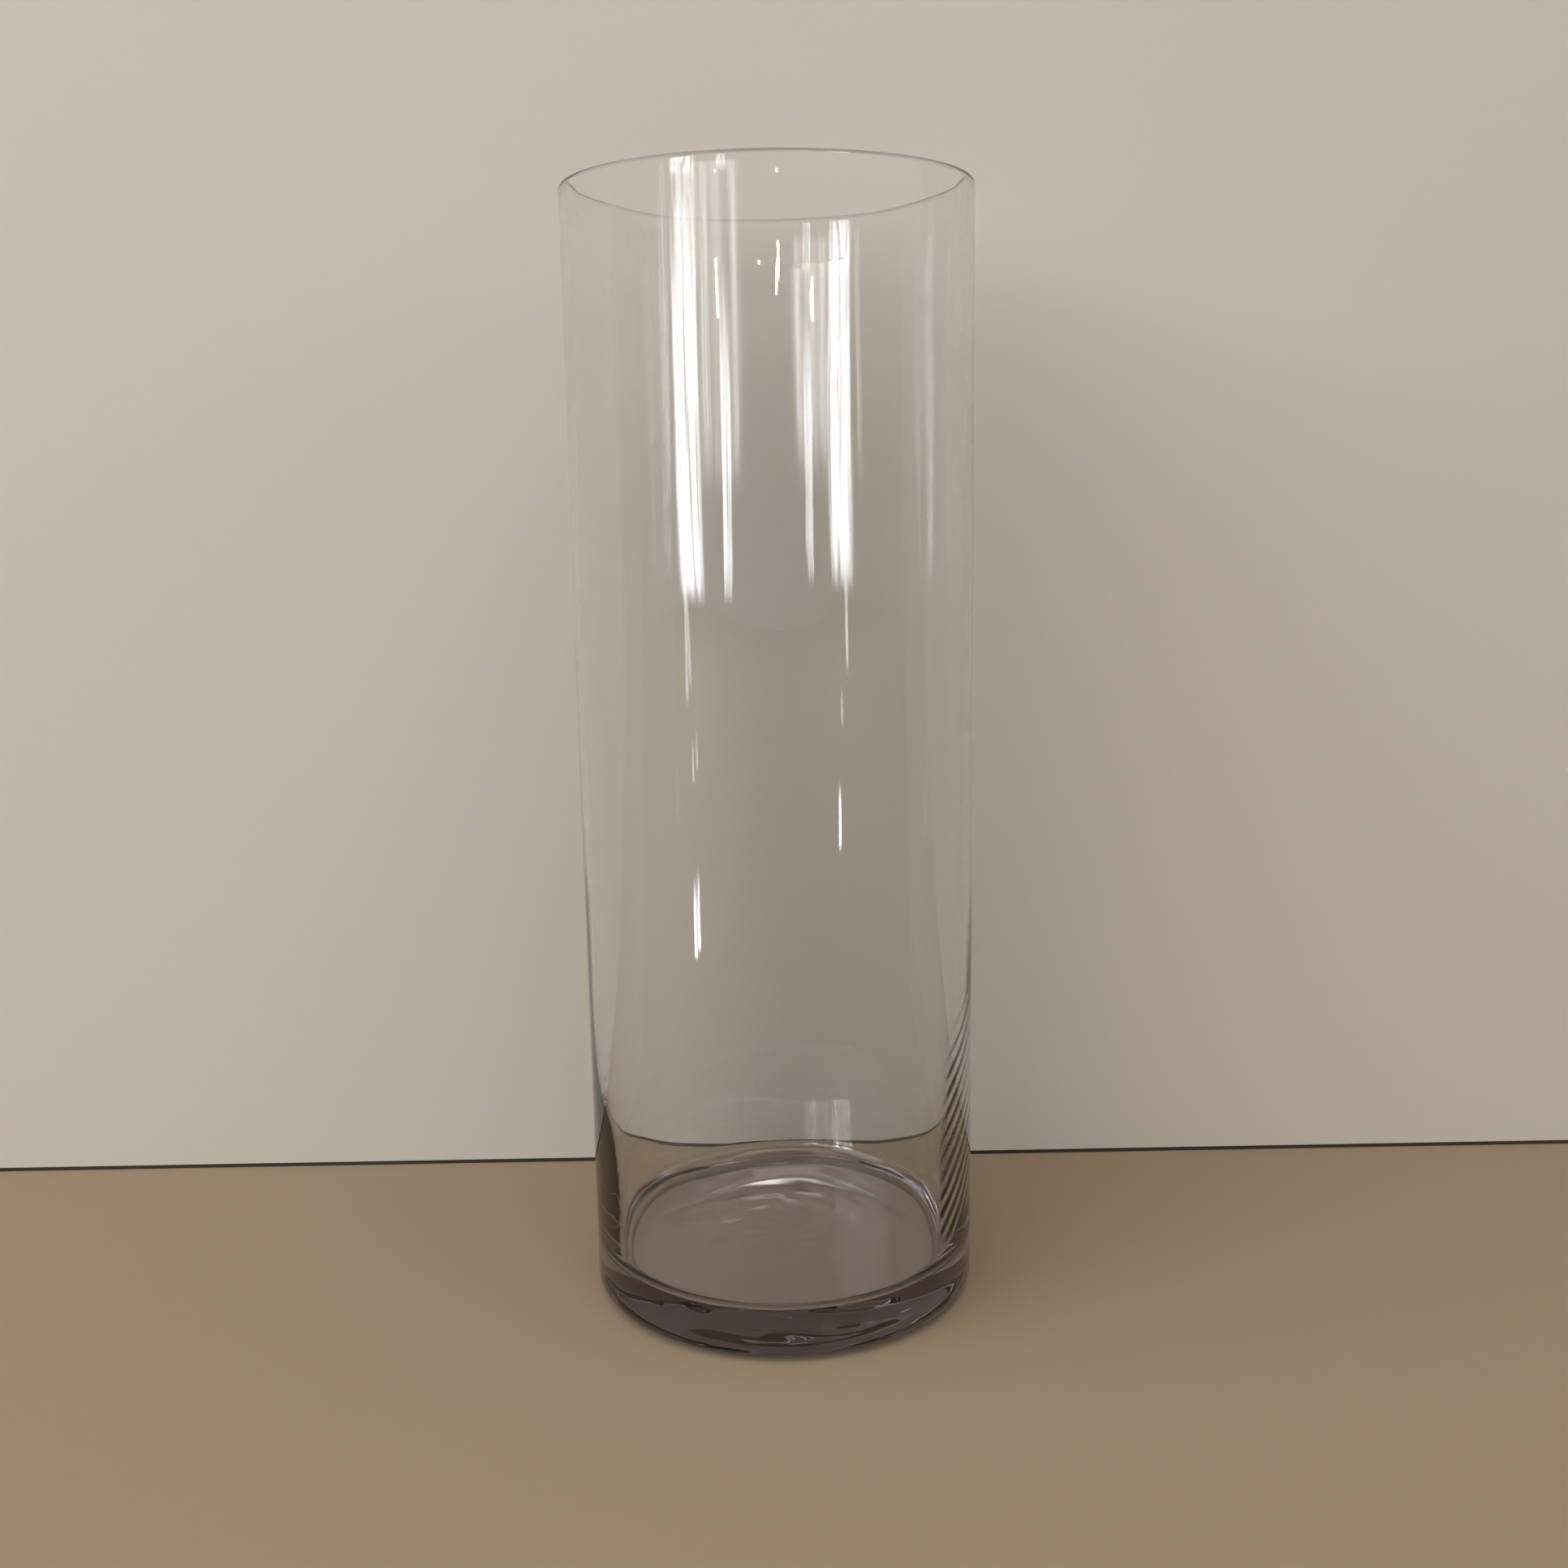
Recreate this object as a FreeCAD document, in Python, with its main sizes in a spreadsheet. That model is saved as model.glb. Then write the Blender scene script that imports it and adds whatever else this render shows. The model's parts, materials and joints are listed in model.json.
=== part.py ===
"""Cylinder vase: one piece of blown glass, open at the top, standing on a ring under its floor.

Frame: +Z up along the vase's axis. The origin is the centre of the plane that the vase stands on.
The body is one half profile turned about +Z. Going round the profile from the middle of the
underside: a shallow dome under the floor, the flat standing ring, the rounded heel, the straight
outside, the lip, the inside wall, the corner inside and the floor.
"""
import FreeCAD, Part
import Sketcher
import os
from math import asin, atan2, pi, sqrt

DRIVING_DIMENSIONS = [
    ("vase_height", 355.0, "overall height"),
    ("outer_diameter", 127.0, "outside diameter, the same from heel to lip"),
    ("heel_radius", 5.0, "rounding between the standing ring and the outside"),
    ("dome_radius", 46.0, "inner radius of the standing ring, where the dome begins"),
    ("dome_rise", 1.5, "height of the dome under the floor, at its middle"),
    ("lip_wall", 2.7, "wall at the mouth"),
    ("lip_round", 1.25, "rounding of both edges of the lip"),
    ("lip_land", 15.0, "depth of the straight-sided ring inside the mouth"),
    ("waist_wall", 1.8, "thinnest wall"),
    ("waist_height", 230.0, "height at which the wall is thinnest"),
    ("foot_wall", 2.2, "wall where it starts to thicken towards the floor"),
    ("foot_height", 105.0, "height at which the wall starts to thicken"),
    ("foot_radius", 950.0, "radius of the curve by which the wall thickens"),
    ("floor_corner", 6.0, "rounding between the inside wall and the floor"),
    ("floor_thickness", 14.0, "height of the floor above the standing ring"),
]

START = 1
END = 2
CENTRE = 3
ORIGIN = (-1, 1)
H_AXIS = -1
V_AXIS = -2

doc = FreeCAD.newDocument("cylinder_vase")


def make_sheet():
    """Puts the driving dimensions in the document's spreadsheet, one aliased cell each."""
    sheet = doc.addObject("Spreadsheet::Sheet", "Dimensions")
    for row, (alias, value, meaning) in enumerate(DRIVING_DIMENSIONS, start=1):
        sheet.set(f"A{row}", alias)
        sheet.set(f"B{row}", str(value))
        sheet.set(f"C{row}", meaning)
        sheet.setAlias(f"B{row}", alias)
    doc.recompute()
    return sheet


def origin_feature(body, role):
    """Finds one of a body's own origin planes or axes by its role."""
    for feature in body.Origin.OriginFeatures:
        if feature.Role == role:
            return feature
    raise RuntimeError(f"{body.Label} has no {role}")


def vector(x, z):
    """A point of the profile, x outwards from the axis and z upwards."""
    return FreeCAD.Vector(x, z, 0)


def add_line(sketch, start, end):
    """Adds a straight stretch of the profile."""
    return sketch.addGeometry(Part.LineSegment(vector(*start), vector(*end)), False)


def add_arc(sketch, centre, radius, start_angle, end_angle):
    """Adds a round stretch of the profile, anticlockwise between two angles in radians."""
    circle = Part.Circle(vector(*centre), FreeCAD.Vector(0, 0, 1), radius)
    return sketch.addGeometry(Part.ArcOfCircle(circle, start_angle, end_angle), False)


def bind(sketch, name, expression, kind, *geometry_and_value):
    """Adds a dimension to the sketch and binds it to the spreadsheet."""
    index = sketch.addConstraint(Sketcher.Constraint(kind, *geometry_and_value))
    sketch.renameConstraint(index, name)
    sketch.setExpression(f"Constraints.{name}", expression)


def draw_profile(sketch, sheet):
    """Draws the half profile of the glass and ties every size of it to the spreadsheet."""
    outer = sheet.outer_diameter / 2
    top = sheet.vase_height
    heel = sheet.heel_radius
    edge = sheet.lip_round
    mouth = outer - sheet.lip_wall
    waist = outer - sheet.waist_wall
    foot = outer - sheet.foot_wall
    floor = sheet.floor_thickness
    corner = sheet.floor_corner

    # The dome is the cap of a sphere whose centre lies far below, on the axis.
    dome_sphere = (sheet.dome_radius**2 + sheet.dome_rise**2) / (2 * sheet.dome_rise)
    dome_centre = sheet.dome_rise - dome_sphere

    # The thickening curve leaves the wall upright, and touches the corner's arc from outside.
    curve_centre = foot - sheet.foot_radius
    reach = sheet.foot_radius - corner
    drop = sheet.foot_height - floor - corner
    corner_centre = curve_centre + sqrt(reach**2 - drop**2)
    lean = asin(drop / reach)

    dome = add_arc(
        sketch, (0, dome_centre), dome_sphere, atan2(-dome_centre, sheet.dome_radius), pi / 2
    )
    ring = add_line(sketch, (sheet.dome_radius, 0), (outer - heel, 0))
    heel_arc = add_arc(sketch, (outer - heel, heel), heel, -pi / 2, 0)
    outside = add_line(sketch, (outer, heel), (outer, top - edge))
    lip_outer = add_arc(sketch, (outer - edge, top - edge), edge, 0, pi / 2)
    lip_top = add_line(sketch, (outer - edge, top), (mouth + edge, top))
    lip_inner = add_arc(sketch, (mouth + edge, top - edge), edge, pi / 2, pi)
    land = add_line(sketch, (mouth, top - edge), (mouth, top - sheet.lip_land))
    upper_wall = add_line(sketch, (mouth, top - sheet.lip_land), (waist, sheet.waist_height))
    lower_wall = add_line(sketch, (waist, sheet.waist_height), (foot, sheet.foot_height))
    foot_curve = add_arc(sketch, (curve_centre, sheet.foot_height), sheet.foot_radius, -lean, 0)
    corner_arc = add_arc(sketch, (corner_centre, floor + corner), corner, -pi / 2, -lean)
    floor_line = add_line(sketch, (corner_centre, floor), (0, floor))
    axis_line = add_line(sketch, (0, floor), (0, sheet.dome_rise))

    def join(first, first_end, second, second_end):
        sketch.addConstraint(Sketcher.Constraint("Coincident", first, first_end, second, second_end))

    def blend(first, first_end, second, second_end):
        sketch.addConstraint(Sketcher.Constraint("Tangent", first, first_end, second, second_end))

    join(dome, START, ring, START)
    blend(ring, END, heel_arc, START)
    blend(heel_arc, END, outside, START)
    blend(outside, END, lip_outer, START)
    blend(lip_outer, END, lip_top, START)
    blend(lip_top, END, lip_inner, START)
    blend(lip_inner, END, land, START)
    join(land, END, upper_wall, START)
    join(upper_wall, END, lower_wall, START)
    join(lower_wall, END, foot_curve, END)
    blend(foot_curve, START, corner_arc, END)
    blend(corner_arc, START, floor_line, START)
    join(floor_line, END, axis_line, START)
    join(axis_line, END, dome, END)

    for on_axis in ((dome, CENTRE), (dome, END), (floor_line, END)):
        sketch.addConstraint(Sketcher.Constraint("PointOnObject", *on_axis, V_AXIS))
    for on_ground in ((ring, START), (ring, END)):
        sketch.addConstraint(Sketcher.Constraint("PointOnObject", *on_ground, H_AXIS))
    for upright in (outside, land):
        sketch.addConstraint(Sketcher.Constraint("Vertical", upright))
    for level in (lip_top, floor_line):
        sketch.addConstraint(Sketcher.Constraint("Horizontal", level))
    sketch.addConstraint(Sketcher.Constraint("Horizontal", foot_curve, CENTRE, foot_curve, END))

    sizes = "Dimensions."
    half = f"{sizes}outer_diameter / 2"
    across = "DistanceX"
    up = "DistanceY"
    bind(sketch, "dome_radius", f"{sizes}dome_radius", across, *ORIGIN, ring, START, sheet.dome_radius)
    bind(sketch, "dome_rise", f"{sizes}dome_rise", up, *ORIGIN, dome, END, sheet.dome_rise)
    bind(sketch, "outer_radius", half, across, *ORIGIN, outside, START, outer)
    bind(sketch, "heel_radius", f"{sizes}heel_radius", "Radius", heel_arc, heel)
    bind(sketch, "vase_height", f"{sizes}vase_height", up, *ORIGIN, lip_top, START, top)
    bind(sketch, "lip_round_outside", f"{sizes}lip_round", "Radius", lip_outer, edge)
    bind(sketch, "lip_round_inside", f"{sizes}lip_round", "Radius", lip_inner, edge)
    bind(sketch, "mouth_radius", f"{half} - {sizes}lip_wall", across, *ORIGIN, land, END, mouth)
    bind(
        sketch,
        "land_bottom",
        f"{sizes}vase_height - {sizes}lip_land",
        up,
        *ORIGIN,
        land,
        END,
        top - sheet.lip_land,
    )
    bind(sketch, "waist_radius", f"{half} - {sizes}waist_wall", across, *ORIGIN, lower_wall, START, waist)
    bind(sketch, "waist_height", f"{sizes}waist_height", up, *ORIGIN, lower_wall, START, sheet.waist_height)
    bind(sketch, "foot_radius", f"{half} - {sizes}foot_wall", across, *ORIGIN, lower_wall, END, foot)
    bind(sketch, "foot_height", f"{sizes}foot_height", up, *ORIGIN, lower_wall, END, sheet.foot_height)
    bind(sketch, "foot_curve_radius", f"{sizes}foot_radius", "Radius", foot_curve, sheet.foot_radius)
    bind(sketch, "corner_radius", f"{sizes}floor_corner", "Radius", corner_arc, corner)
    bind(sketch, "floor_height", f"{sizes}floor_thickness", up, *ORIGIN, floor_line, END, floor)


def build_glass_body(sheet):
    """Turns the half profile into the vase's single piece of glass."""
    body = doc.addObject("PartDesign::Body", "GlassBody")
    body.Label = "glass_body"
    profile = body.newObject("Sketcher::SketchObject", "HalfProfile")
    profile.AttachmentSupport = [(origin_feature(body, "XZ_Plane"), "")]
    profile.MapMode = "FlatFace"
    draw_profile(profile, sheet)
    turned = body.newObject("PartDesign::Revolution", "TurnedGlass")
    turned.Profile = profile
    turned.ReferenceAxis = (profile, ["V_Axis"])
    turned.Angle = 360.0
    body.Placement = FreeCAD.Placement()
    profile.Visibility = False
    return body


def check_document(bodies):
    """Stops before anything is written if an object failed or a solid is unsound."""
    for item in doc.Objects:
        if "Invalid" in item.State or "Error" in item.State:
            raise RuntimeError(f"{item.Label} did not recompute: {item.State}")
    for body in bodies:
        if body.Shape.isNull() or not body.Shape.isValid():
            raise RuntimeError(f"{body.Label} has no valid shape")
        if len(body.Shape.Solids) != 1:
            raise RuntimeError(f"{body.Label} is not one solid")


dimensions = make_sheet()
vase_parts = [build_glass_body(dimensions)]
doc.recompute()
check_document(vase_parts)

os.makedirs("parts", exist_ok=True)
for vase_part in vase_parts:
    vase_part.Shape.exportStep(f"parts/{vase_part.Label}.step")
    box = vase_part.Shape.optimalBoundingBox(True, False)
    size = f"{box.XLength:.1f} x {box.YLength:.1f} x {box.ZLength:.1f} mm"
    glass = vase_part.Shape.Volume / 1000
    print(f"{vase_part.Label}: {size}, {glass:.1f} cubic centimetres of glass")
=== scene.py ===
"""A clear glass cylinder vase standing on a pale floor in front of a pale wall.

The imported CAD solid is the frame. Its display mesh is too coarse to look through, so a finely turned
mesh of the same profile stands in for it and adds what a blown vase shows: spiral ridges in the
thickened foot of the wall, and a slow unevenness of every surface.
"""
import json
from math import asin, atan2, cos, exp, pi, radians, sin, sqrt, tan

import bpy
from mathutils import Matrix, Vector


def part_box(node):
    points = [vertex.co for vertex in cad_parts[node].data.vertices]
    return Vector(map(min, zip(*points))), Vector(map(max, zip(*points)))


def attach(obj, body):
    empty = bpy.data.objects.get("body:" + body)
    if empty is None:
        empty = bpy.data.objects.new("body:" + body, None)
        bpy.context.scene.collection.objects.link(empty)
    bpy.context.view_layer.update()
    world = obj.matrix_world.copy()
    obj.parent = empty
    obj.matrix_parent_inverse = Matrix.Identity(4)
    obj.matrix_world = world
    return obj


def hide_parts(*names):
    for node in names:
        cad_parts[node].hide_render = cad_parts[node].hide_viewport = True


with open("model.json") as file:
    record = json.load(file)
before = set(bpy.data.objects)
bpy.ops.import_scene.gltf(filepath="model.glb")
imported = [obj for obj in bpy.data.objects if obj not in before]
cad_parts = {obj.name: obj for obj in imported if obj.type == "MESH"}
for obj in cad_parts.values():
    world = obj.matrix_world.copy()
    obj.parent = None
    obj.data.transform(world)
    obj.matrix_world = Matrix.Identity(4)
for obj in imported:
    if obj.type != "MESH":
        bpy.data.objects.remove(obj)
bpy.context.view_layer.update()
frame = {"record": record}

NODE = "glass_body"
MM = 0.001

# ---------------------------------------------------------------------------
# Sizes of the glass, in metres
# ---------------------------------------------------------------------------
LOW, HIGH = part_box(NODE)
OUTER_RADIUS = min(HIGH.x, -LOW.x, HIGH.y, -LOW.y)
HEIGHT = HIGH.z - LOW.z
MOUNTS = {mount["name"]: mount for mount in frame["record"]["mounts"]}
MOUTH_RADIUS = MOUNTS["mouth"]["dims"]["r_mm"] * MM
HEEL_RADIUS = 5 * MM
DOME_RADIUS = 46 * MM
DOME_RISE = 1.5 * MM
LIP_ROUND = 1.25 * MM
LIP_LAND = 15 * MM
WAIST_WALL = 1.8 * MM
WAIST_HEIGHT = 230 * MM
FOOT_WALL = 2.2 * MM
FOOT_HEIGHT = 105 * MM
FOOT_RADIUS = 950 * MM
FLOOR_CORNER = 6 * MM
FLOOR_THICKNESS = 14 * MM

# Height of the tooled band round the base
BASE_TOP = 26 * MM

# Inside points nearer to the axis than this belong to the floor, and the others to the wall
FLOOR_EDGE = 0.8 * OUTER_RADIUS

# Steps round the vase in its mesh
AROUND = 480

# The spiral ridges inside the thickened foot of the wall
RIDGE_COUNT = 44
RIDGE_LEAN = radians(34)
RIDGE_HEIGHT = 0.50 * MM
RIDGE_BOTTOM = 20 * MM
RIDGE_TOP = 110 * MM
RIDGE_FADE = 18 * MM
# The ridges are strong round one bearing on the right, and faint round its mirror image on the left
RIDGE_BEARING = radians(14)
LEFT_RIDGES = 0.1
# Cosine of the angle from the bearing at which the ridges end, and its rise from there to full strength
RIDGE_EDGE = 0.92
RIDGE_SOFTNESS = 0.06

# Ripples: size, waves round the vase, radians along it, phase in radians
INSIDE_RIPPLES = ((0.06, 3, 4.0, 0.4), (0.05, 5, -7.0, 2.1), (0.022, 11, 9.0, 1.3), (0.016, 17, -13.0, 0.0))
FOOT_RIPPLES = ((1.0, 5, 18.0, 0.9), (0.5, 8, -21.0, 2.2))
FLOOR_RIPPLES = ((0.06, 2, 5.0, 0.6), (0.04, 3, -6.0, 2.0))
UNDERSIDE_RIPPLES = ((0.5, 10, -6.0, pi / 2), (-0.5, 4, 60.0, pi / 2), (0.6, 10, -37.0, 0.0))
OUTSIDE_RIPPLES = ((0.010, 4, 5.0, 0.0), (0.007, 9, -8.0, 1.0), (0.004, 15, 11.0, 2.0))
# The same for the base, but with radians for each metre of height
BASE_RIPPLES = ((1.0, 14, 260.0, 0.0), (0.7, 23, -410.0, 1.1), (0.5, 9, 600.0, 0.5))


# ---------------------------------------------------------------------------
# The true profile
# ---------------------------------------------------------------------------
def arc(centre_x, centre_z, radius, start, end, steps):
    """Points of an arc between two angles in radians, both ends included."""
    points = []
    for step in range(steps + 1):
        angle = start + (end - start) * step / steps
        points.append((centre_x + radius * cos(angle), centre_z + radius * sin(angle)))
    return points


def run(start, end, steps):
    """Points of a straight run, both ends included."""
    points = []
    for step in range(steps + 1):
        share = step / steps
        points.append((start[0] + (end[0] - start[0]) * share, start[1] + (end[1] - start[1]) * share))
    return points


def outside_profile():
    """The outside of the glass, from the middle of the underside to the top of the lip."""
    sphere = (DOME_RADIUS**2 + DOME_RISE**2) / (2 * DOME_RISE)
    dome_edge = atan2(sphere - DOME_RISE, DOME_RADIUS)
    dome = arc(0, DOME_RISE - sphere, sphere, pi / 2, dome_edge, 18)
    ring = run((DOME_RADIUS, 0), (OUTER_RADIUS - HEEL_RADIUS, 0), 4)
    heel = arc(OUTER_RADIUS - HEEL_RADIUS, HEEL_RADIUS, HEEL_RADIUS, -pi / 2, 0, 10)
    base = run((OUTER_RADIUS, HEEL_RADIUS), (OUTER_RADIUS, BASE_TOP), 10)
    side = run((OUTER_RADIUS, BASE_TOP), (OUTER_RADIUS, HEIGHT - LIP_ROUND), 22)
    lip = arc(OUTER_RADIUS - LIP_ROUND, HEIGHT - LIP_ROUND, LIP_ROUND, 0, pi / 2, 6)
    return dome + ring[1:] + heel[1:] + base[1:] + side[1:] + lip[1:]


def inside_profile():
    """The inside of the glass, from the top of the lip down to the middle of the floor."""
    waist = OUTER_RADIUS - WAIST_WALL
    foot = OUTER_RADIUS - FOOT_WALL
    curve_centre = foot - FOOT_RADIUS
    reach = FOOT_RADIUS - FLOOR_CORNER
    drop = FOOT_HEIGHT - FLOOR_THICKNESS - FLOOR_CORNER
    lean = asin(drop / reach)
    corner_centre = curve_centre + sqrt(reach**2 - drop**2)
    land_bottom = HEIGHT - LIP_LAND
    lip = arc(MOUTH_RADIUS + LIP_ROUND, HEIGHT - LIP_ROUND, LIP_ROUND, pi / 2, pi, 6)
    land = run((MOUTH_RADIUS, HEIGHT - LIP_ROUND), (MOUTH_RADIUS, land_bottom), 3)
    upper = run((MOUTH_RADIUS, land_bottom), (waist, WAIST_HEIGHT), 14)
    lower = run((waist, WAIST_HEIGHT), (foot, FOOT_HEIGHT), 16)
    curve = arc(curve_centre, FOOT_HEIGHT, FOOT_RADIUS, 0, -lean, 70)
    corner = arc(corner_centre, FLOOR_THICKNESS + FLOOR_CORNER, FLOOR_CORNER, -lean, -pi / 2, 10)
    floor = run((corner_centre, FLOOR_THICKNESS), (0, FLOOR_THICKNESS), 12)
    return lip + land[1:] + upper[1:] + lower[1:] + curve[1:] + corner[1:] + floor[1:]


# ---------------------------------------------------------------------------
# The unevenness of blown glass
# ---------------------------------------------------------------------------
def ease(value):
    """Goes smoothly from 0 to 1 while value goes from 0 to 1."""
    value = min(max(value, 0.0), 1.0)
    return value * value * (3 - 2 * value)


def ripple(waves, angle, along):
    """The sum of some ripples at an angle round the vase and a place along it."""
    return sum(size * sin(count * angle + rate * along + phase) for size, count, rate, phase in waves)


def ridges(angle, height):
    """How far the spiral ridges stand in from the inside wall."""
    rise = ease((height - RIDGE_BOTTOM) / RIDGE_FADE) * ease((RIDGE_TOP - height) / (2 * RIDGE_FADE))
    if rise == 0:
        return 0.0
    turn_rate = RIDGE_COUNT / (OUTER_RADIUS * tan(RIDGE_LEAN))
    wander = 1.5 * sin(2 * angle + 30 * height)
    crest = 0.5 + 0.5 * sin(RIDGE_COUNT * angle - turn_rate * height + wander)
    right = ease((cos(angle + RIDGE_BEARING) - RIDGE_EDGE) / RIDGE_SOFTNESS)
    left = ease((-cos(angle - RIDGE_BEARING) - RIDGE_EDGE) / RIDGE_SOFTNESS)
    strength = (right + LEFT_RIDGES * left) * (0.7 + 0.3 * sin(5 * angle + 1.0))
    return RIDGE_HEIGHT * rise * strength * crest


def inside_unevenness(angle, height):
    """How far the slow ripples of the inside wall stand in from the true profile."""
    share = height / HEIGHT
    foot = 0.15 * exp(-((height - 60 * MM) / (45 * MM)) ** 2) * ripple(FOOT_RIPPLES, angle, share)
    fade = ease(share / 0.09) * ease((HEIGHT - LIP_LAND - height) / (40 * MM))
    return MM * fade * (0.15 + ripple(INSIDE_RIPPLES, angle, share) + foot)


def floor_unevenness(radius, angle):
    """How far the floor of the inside rises and falls across the vase."""
    share = radius / OUTER_RADIUS
    return MM * ripple(FLOOR_RIPPLES, angle, share) * ease(share / 0.25)


def underside_unevenness(radius, angle):
    """How far the dome under the vase rises above its true curve."""
    share = radius / OUTER_RADIUS
    fade = ease((DOME_RADIUS - radius) / (6 * MM)) * ease(share / 0.3)
    return 0.09 * MM * (1.6 + ripple(UNDERSIDE_RIPPLES, angle, share)) * fade


def base_unevenness(angle, height):
    """How far the outside of the base dips where it was tooled."""
    fade = ease(height / (7 * MM)) * ease((BASE_TOP - height) / (12 * MM))
    return 0.014 * MM * (2.2 + ripple(BASE_RIPPLES, angle, height)) * fade


def outside_unevenness(angle, height):
    """How far the outside dips below its true radius."""
    fade = ease(height / (30 * MM)) * ease((HEIGHT - height) / (30 * MM))
    return MM * fade * (0.021 + ripple(OUTSIDE_RIPPLES, angle, height / HEIGHT))


def uneven(radius, height, angle, within):
    """The radius and height that a point of the true profile has on the real, uneven glass."""
    if within and radius < FLOOR_EDGE:
        return radius, height + floor_unevenness(radius, angle)
    if within:
        return radius - inside_unevenness(angle, height) - ridges(angle, height), height
    if radius < DOME_RADIUS:
        return radius, height + underside_unevenness(radius, angle)
    return radius - outside_unevenness(angle, height) - base_unevenness(angle, height), height


# ---------------------------------------------------------------------------
# The vase
# ---------------------------------------------------------------------------
GLASS_IOR = 1.51
# Each metre of glass absorbs density * (1 - colour)
GLASS_BODY_COLOUR = (0.877, 0.862, 0.869)
GLASS_BODY_DENSITY = 100


def link(name, data):
    """A new object in the scene that holds this data."""
    piece = bpy.data.objects.new(name, data)
    bpy.context.scene.collection.objects.link(piece)
    return piece


def turn(name, outside, inside):
    """Turns an outside and an inside profile, joined at the lip, into one closed mesh."""
    profile = outside + inside[1:]
    vertices = [(0.0, 0.0, profile[0][1])]
    for index, (radius, height) in enumerate(profile[1:-1], start=1):
        for step in range(AROUND):
            angle = 2 * pi * step / AROUND
            reach, level = uneven(radius, height, angle, index >= len(outside))
            vertices.append((reach * cos(angle), reach * sin(angle), level))
    vertices.append((0.0, 0.0, profile[-1][1]))
    last = len(vertices) - 1
    rings = len(profile) - 2
    faces = []
    for step in range(AROUND):
        after = (step + 1) % AROUND
        faces.append((0, 1 + after, 1 + step))
        for ring in range(rings - 1):
            base = 1 + ring * AROUND
            faces.append((base + step, base + after, base + AROUND + after, base + AROUND + step))
        base = 1 + (rings - 1) * AROUND
        faces.append((last, base + step, base + after))
    mesh = bpy.data.meshes.new(name)
    mesh.from_pydata(vertices, [], faces)
    mesh.polygons.foreach_set("use_smooth", [True] * len(mesh.polygons))
    mesh.update()
    return link(name, mesh)


def glass_material():
    """Clear glass with a faint violet-grey body colour, which shows where the glass is thick."""
    material = bpy.data.materials.new("vase_glass")
    material.use_nodes = True
    nodes = material.node_tree.nodes
    links = material.node_tree.links
    nodes.clear()
    output = nodes.new("ShaderNodeOutputMaterial")
    surface = nodes.new("ShaderNodeBsdfPrincipled")
    surface.inputs["Base Color"].default_value = (1, 1, 1, 1)
    surface.inputs["Roughness"].default_value = 0.0
    surface.inputs["IOR"].default_value = GLASS_IOR
    surface.inputs["Transmission Weight"].default_value = 1.0
    body = nodes.new("ShaderNodeVolumeAbsorption")
    body.inputs["Color"].default_value = (*GLASS_BODY_COLOUR, 1)
    body.inputs["Density"].default_value = GLASS_BODY_DENSITY
    links.new(surface.outputs["BSDF"], output.inputs["Surface"])
    links.new(body.outputs["Volume"], output.inputs["Volume"])
    return material


def build_vase():
    """The finely turned glass, in place of the CAD solid."""
    vase = turn("vase_glass", outside_profile(), inside_profile())
    vase.data.materials.append(glass_material())
    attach(vase, "root")
    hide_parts(NODE)


# ---------------------------------------------------------------------------
# The stage
# ---------------------------------------------------------------------------
WALL_DISTANCE = 0.0935
WALL_HEIGHT = 2.2
STAGE_HALF = 2.5
# The floor lies just below the vase, because glass and floor in one plane render as a dark ring
FLOOR_DROP = 0.2 * MM
# Height of the gap between the floor and the wall, which a dark sheet fills as painted shade
WALL_GAP = 1.3 * MM
FLOOR_COLOUR = (0.315, 0.24, 0.165)
WALL_COLOUR = (0.63, 0.59, 0.525)
# Painted shade: the colour of the dark sheet that stands in for the shade in the gap under the wall
GAP_SHADE_COLOUR = (0.05, 0.04, 0.03)
# The floor is paler where the vase covers it, in place of the light that gathers under thick glass
UNDER_VASE_RADIUS = 57 * MM
UNDER_VASE_COLOUR = (0.80, 0.66, 0.51)
UNDER_VASE_CORNERS = 96


def stage_material(name, colour):
    """A plain matt finish for the floor or the wall."""
    material = bpy.data.materials.new(name)
    material.use_nodes = True
    surface = material.node_tree.nodes["Principled BSDF"]
    surface.inputs["Base Color"].default_value = (*colour, 1)
    surface.inputs["Roughness"].default_value = 0.9
    surface.inputs["Specular IOR Level"].default_value = 0.2
    return material


def see_through_from_behind(material):
    """Lets a camera behind the wall look through its back."""
    nodes = material.node_tree.nodes
    links = material.node_tree.links
    face = nodes.new("ShaderNodeNewGeometry")
    clear = nodes.new("ShaderNodeBsdfTransparent")
    mix = nodes.new("ShaderNodeMixShader")
    links.new(face.outputs["Backfacing"], mix.inputs["Fac"])
    links.new(nodes["Principled BSDF"].outputs["BSDF"], mix.inputs[1])
    links.new(clear.outputs["BSDF"], mix.inputs[2])
    links.new(mix.outputs["Shader"], nodes["Material Output"].inputs["Surface"])


def sheet(name, corners, material):
    """A flat part of the stage with these corners."""
    mesh = bpy.data.meshes.new(name)
    mesh.from_pydata(corners, [], [tuple(range(len(corners)))])
    mesh.materials.append(material)
    piece = link(name, mesh)


def upright(name, bottom, top, colour):
    """A part of the wall between two heights, seen from the front only."""
    material = stage_material(f"stage_{name}", colour)
    see_through_from_behind(material)
    back = WALL_DISTANCE
    ends = ((-STAGE_HALF, bottom), (STAGE_HALF, bottom), (STAGE_HALF, top), (-STAGE_HALF, top))
    sheet(name, [(across, back, height) for across, height in ends], material)


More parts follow.
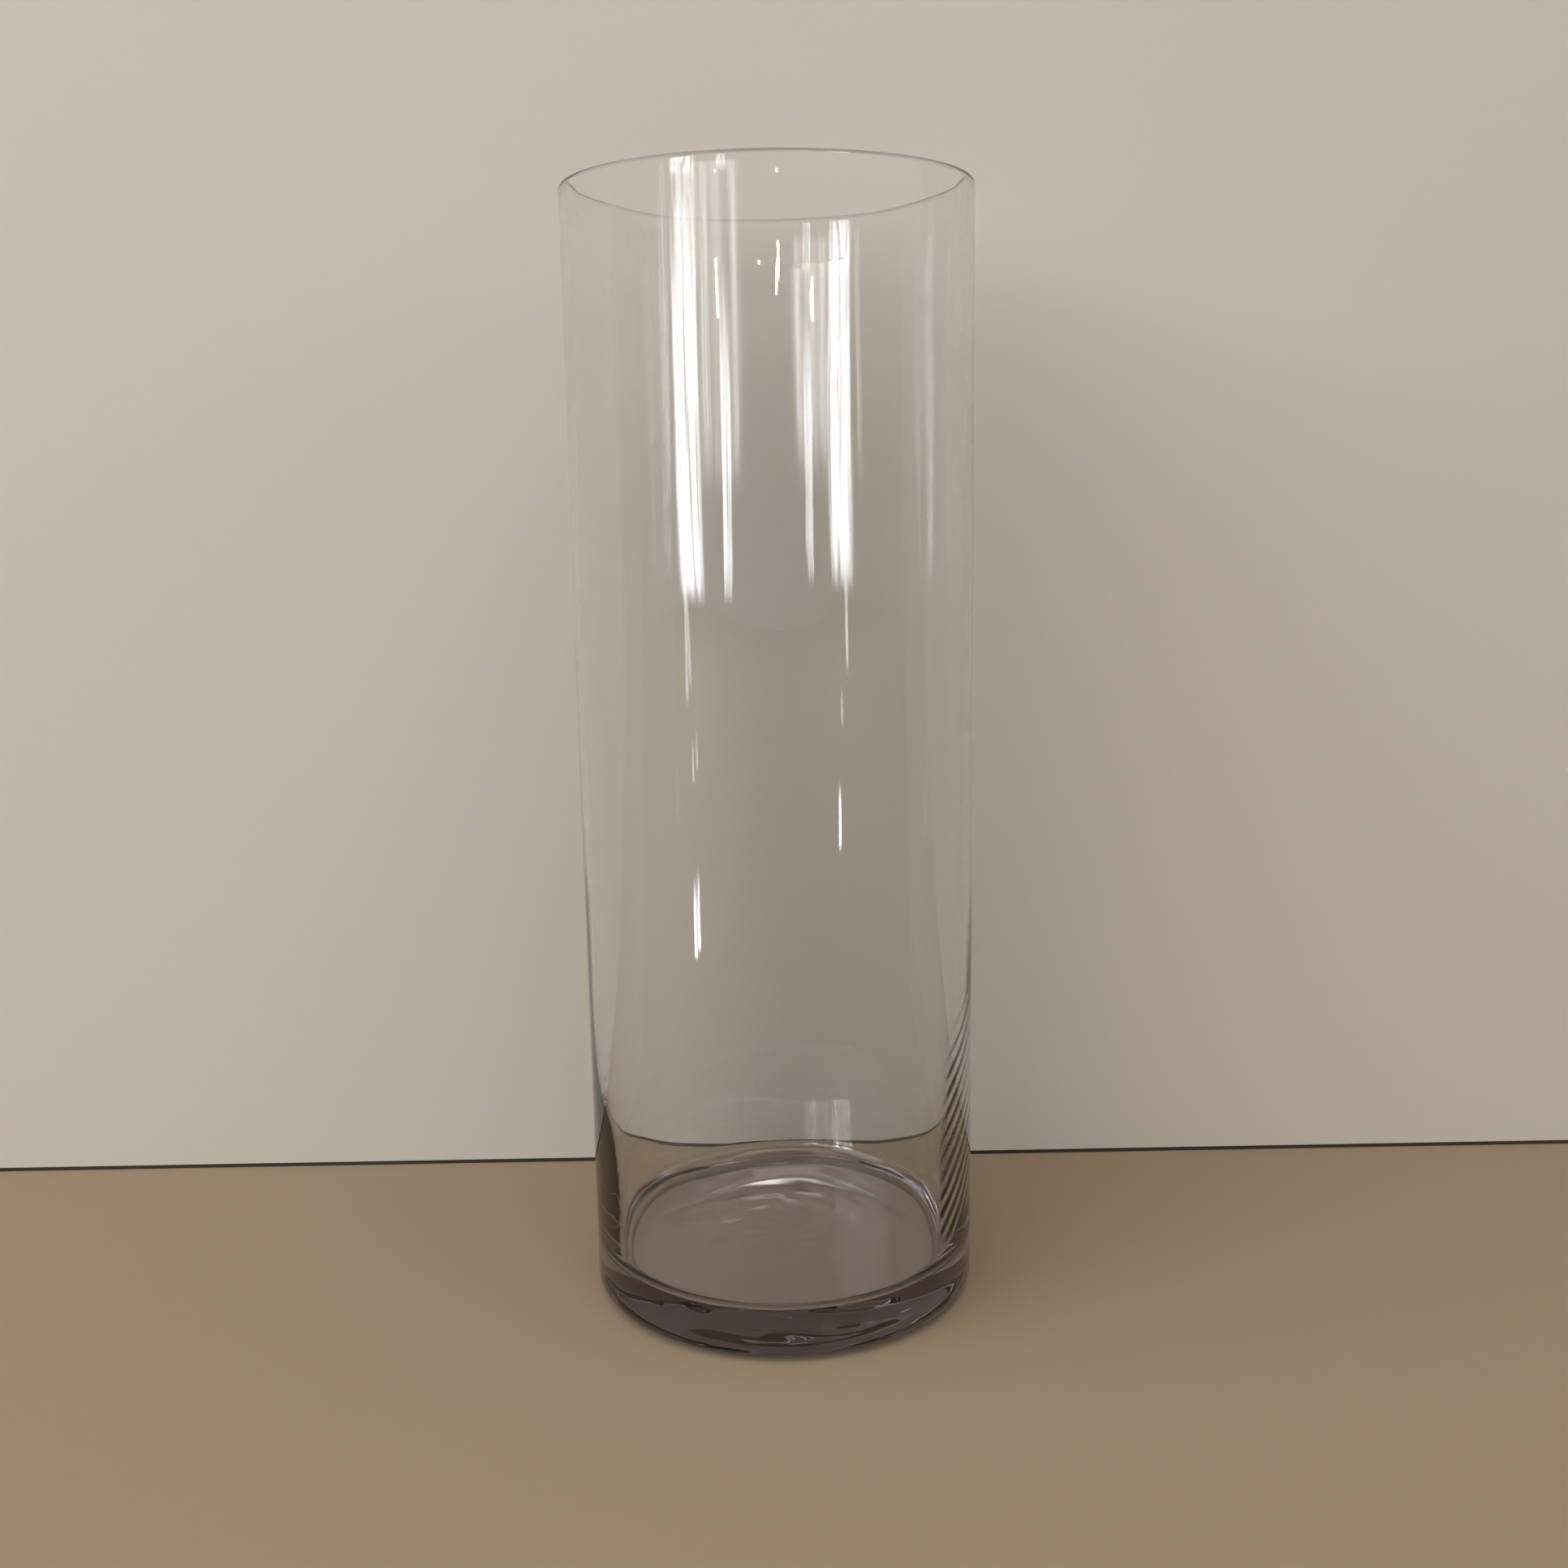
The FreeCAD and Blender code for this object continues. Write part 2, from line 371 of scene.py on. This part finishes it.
def build_stage():
    """A pale floor with a pale wall close behind the vase."""
    square = ((-1, -1), (1, -1), (1, 1), (-1, 1))
    corners = [(STAGE_HALF * across, STAGE_HALF * along, -FLOOR_DROP) for across, along in square]
    sheet("floor", corners, stage_material("stage_floor", FLOOR_COLOUR))
    angles = [2 * pi * step / UNDER_VASE_CORNERS for step in range(UNDER_VASE_CORNERS)]
    radius = UNDER_VASE_RADIUS
    rim = [(radius * cos(angle), radius * sin(angle), -FLOOR_DROP / 2) for angle in angles]
    sheet("under_vase", rim, stage_material("stage_under_vase", UNDER_VASE_COLOUR))
    upright("wall", WALL_GAP, WALL_HEIGHT, WALL_COLOUR)
    # A dark sheet of painted shade fills the gap between the floor and the foot of the wall
    upright("gap", -FLOOR_DROP, WALL_GAP, GAP_SHADE_COLOUR)


# ---------------------------------------------------------------------------
# The lights
# ---------------------------------------------------------------------------
WINDOW_COLOUR = (0.93, 0.97, 1.0)
WINDOW_PANES = (
    # azimuth, distance, width, bottom, top, radiance
    (-45.5, 2.0, 0.56, 0.09, 0.80, 17.0),
    (-57.5, 2.0, 0.14, 0.25, 0.90, 2.0),
    (-34.0, 2.0, 0.20, 0.30, 0.85, 2.0),
    (-24.0, 2.0, 0.20, 0.10, 0.62, 12.0),
    (-18.0, 2.0, 0.10, 0.30, 0.80, 2.5),
    (-48.5, 1.0, 0.030, 0.07, 0.26, 8.0),
    (-45.0, 0.6, 0.014, 0.080, 0.112, 8.0),
    (-44.0, 0.35, 0.012, 0.040, 0.085, 30.0),
)
LAMP_COLOUR = (1.0, 0.72, 0.38)
LAMP_SIZE = (0.04, 0.06)
LAMP_DISTANCE = 2.4
LAMP_RADIANCE = 260
SMALL_LAMPS = (
    # name, azimuth, height
    ("lamp_middle", 5.4, 0.615),
    ("lamp_left", -27.3, 0.59),
)
SURROUNDINGS_STRENGTH = 1.12
# The colour of the surroundings, from the horizon up, at the sine of an elevation
SURROUNDINGS = (
    (0.0, (0.26, 0.235, 0.20)),
    (0.14, (0.46, 0.42, 0.37)),
    (0.32, (1.20, 1.16, 1.13)),
    (0.62, (0.06, 0.05, 0.05)),
)


def around_vase(azimuth, distance, height):
    """A place at an azimuth seen from above, 0 being in front of the vase and 90 to its right."""
    angle = radians(azimuth)
    return (distance * sin(angle), -distance * cos(angle), height)


def area_light(name, place, target, size, radiance, colour):
    """A rectangular light at place, facing target, that shines with this radiance."""
    data = bpy.data.lights.new(name, "AREA")
    data.shape = "RECTANGLE"
    data.size, data.size_y = size
    data.energy = pi * size[0] * size[1] * radiance
    data.color = colour
    lamp = link(name, data)
    lamp.location = place
    lamp.rotation_euler = (Vector(target) - Vector(place)).to_track_quat("-Z", "Y").to_euler()
    lamp.visible_camera = False
    return lamp


def soft_light(name, place, target, size, radiance, colour):
    """A large light for the stage, which doesn't shine back off the face of the glass."""
    lamp = area_light(name, place, target, size, radiance, colour)
    lamp.visible_glossy = False
    return lamp


def window(index, azimuth, distance, width, bottom, top, radiance):
    """One tall pane: it shows in the glass and leaves the matt stage to the softer lights."""
    middle = (top + bottom) / 2
    place = around_vase(azimuth, distance, middle)
    size = (width, top - bottom)
    pane = area_light(f"window_{index}", place, (0, 0, middle), size, radiance, WINDOW_COLOUR)
    pane.visible_diffuse = False
    hang_curtain(pane.data, index)


def hang_curtain(light, index):
    """Softens the edges of a light and breaks it into folds that fade towards the top."""
    light.use_nodes = True
    nodes = light.node_tree.nodes
    links = light.node_tree.links
    place = nodes.new("ShaderNodeNewGeometry")
    split = nodes.new("ShaderNodeSeparateXYZ")
    links.new(place.outputs["Parametric"], split.inputs["Vector"])

    def times(first, second):
        """The product of two outputs."""
        product = nodes.new("ShaderNodeMath")
        product.operation = "MULTIPLY"
        links.new(first, product.inputs[0])
        links.new(second, product.inputs[1])
        return product.outputs["Value"]

    def soft_edges(axis, lower, upper):
        """Rises from 0 to 1 over the first share of an axis and falls again over the last."""
        shares = []
        for ends in ((0.0, lower), (1.0, 1.0 - upper)):
            edge = nodes.new("ShaderNodeMapRange")
            edge.interpolation_type = "SMOOTHSTEP"
            edge.inputs["From Min"].default_value, edge.inputs["From Max"].default_value = ends
            links.new(split.outputs[axis], edge.inputs["Value"])
            shares.append(edge.outputs["Result"])
        return times(*shares)

    stretch = nodes.new("ShaderNodeMapping")
    stretch.inputs["Scale"].default_value = (7.0, 1.6, 1.0)
    stretch.inputs["Location"].default_value = (3.7 * index, 1.3 * index, 0)
    folds = nodes.new("ShaderNodeTexNoise")
    folds.noise_dimensions = "2D"
    folds.inputs["Scale"].default_value = 1.0
    folds.inputs["Detail"].default_value = 3.0
    links.new(place.outputs["Parametric"], stretch.inputs["Vector"])
    links.new(stretch.outputs["Vector"], folds.inputs["Vector"])
    contrast = nodes.new("ShaderNodeMapRange")
    contrast.inputs["From Min"].default_value = 0.33
    contrast.inputs["From Max"].default_value = 0.60
    contrast.inputs["To Min"].default_value = 0.12
    contrast.inputs["To Max"].default_value = 1.3
    links.new(folds.outputs["Fac"], contrast.inputs["Value"])
    shape = times(soft_edges("X", 0.18, 0.18), soft_edges("Y", 0.12, 0.55))
    strength = times(shape, contrast.outputs["Result"])
    links.new(strength, nodes["Emission"].inputs["Strength"])


def small_lamp(name, azimuth, height):
    """A small warm lamp that only shows as a sparkle in the glass."""
    place = around_vase(azimuth, LAMP_DISTANCE, height)
    lamp = area_light(name, place, (0, 0, 0), LAMP_SIZE, LAMP_RADIANCE, LAMP_COLOUR)
    lamp.visible_diffuse = False


def build_lights():
    """Window panes at the front left, small lamps in front, and soft light for the stage."""
    for index, pane in enumerate(WINDOW_PANES):
        window(index, *pane)
    for lamp in SMALL_LAMPS:
        small_lamp(*lamp)
    soft_light("overhead", (0, -0.45, 2.2), (0, 0, 0), (2.2, 2.2), 2.35, (1.0, 0.97, 0.93))
    soft_light("daylight", around_vase(-62, 2.2, 1.5), (0, 0, 0.1), (1.6, 1.6), 2.8, (0.92, 0.98, 1.06))
    room = soft_light("room", around_vase(-30, 2.2, 0.7), (0, 0, 0.1), (1.4, 0.9), 3.4, (1.0, 0.99, 0.97))
    hang_curtain(room.data, len(WINDOW_PANES))


def build_world():
    """Soft light all round, brightest a little above the horizon and dim overhead."""
    world = bpy.data.worlds.new("studio")
    bpy.context.scene.world = world
    world.use_nodes = True
    nodes = world.node_tree.nodes
    links = world.node_tree.links
    direction = nodes.new("ShaderNodeTexCoord")
    split = nodes.new("ShaderNodeSeparateXYZ")
    ramp = nodes.new("ShaderNodeValToRGB")
    stops = ramp.color_ramp.elements
    for stop, (position, colour) in zip(stops, (SURROUNDINGS[0], SURROUNDINGS[-1])):
        stop.position = position
        stop.color = (*colour, 1)
    for position, colour in SURROUNDINGS[1:-1]:
        stops.new(position).color = (*colour, 1)
    links.new(direction.outputs["Generated"], split.inputs["Vector"])
    links.new(split.outputs["Z"], ramp.inputs["Fac"])
    links.new(ramp.outputs["Color"], nodes["Background"].inputs["Color"])
    nodes["Background"].inputs["Strength"].default_value = SURROUNDINGS_STRENGTH


# ---------------------------------------------------------------------------
# The camera
# ---------------------------------------------------------------------------
CAMERA_DISTANCE = 0.5292
CAMERA_HEIGHT = 0.2678
CAMERA_PITCH = 10.53
CAMERA_YAW = 0.26
CAMERA_ROLL = -0.92
LENS_MM = 37.865
SENSOR_MM = 36.0


def build_camera():
    """The camera of the photograph: close to the vase, below its lip and looking slightly down."""
    data = bpy.data.cameras.new("camera")
    data.sensor_width = SENSOR_MM
    data.lens = LENS_MM
    data.clip_start = 0.01
    heading = Matrix.Rotation(-radians(CAMERA_YAW), 4, "Z")
    tilt = Matrix.Rotation(radians(90 - CAMERA_PITCH), 4, "X")
    roll = Matrix.Rotation(radians(CAMERA_ROLL), 4, "Z")
    place = Matrix.Translation((0, -CAMERA_DISTANCE, CAMERA_HEIGHT))
    camera = link("camera", data)
    camera.matrix_world = place @ heading @ tilt @ roll
    bpy.context.scene.camera = camera


def set_up_light_paths():
    """Plain colours, and enough bounces to see through four walls of glass."""
    scene = bpy.context.scene
    scene.view_settings.view_transform = "Standard"
    scene.cycles.max_bounces = 24
    scene.cycles.transmission_bounces = 24
    scene.cycles.glossy_bounces = 8
    scene.cycles.transparent_max_bounces = 16
    scene.cycles.sample_clamp_indirect = 0
    scene.cycles.caustics_reflective = True
    scene.cycles.caustics_refractive = True


build_camera()
build_stage()
build_lights()
build_world()
build_vase()
set_up_light_paths()
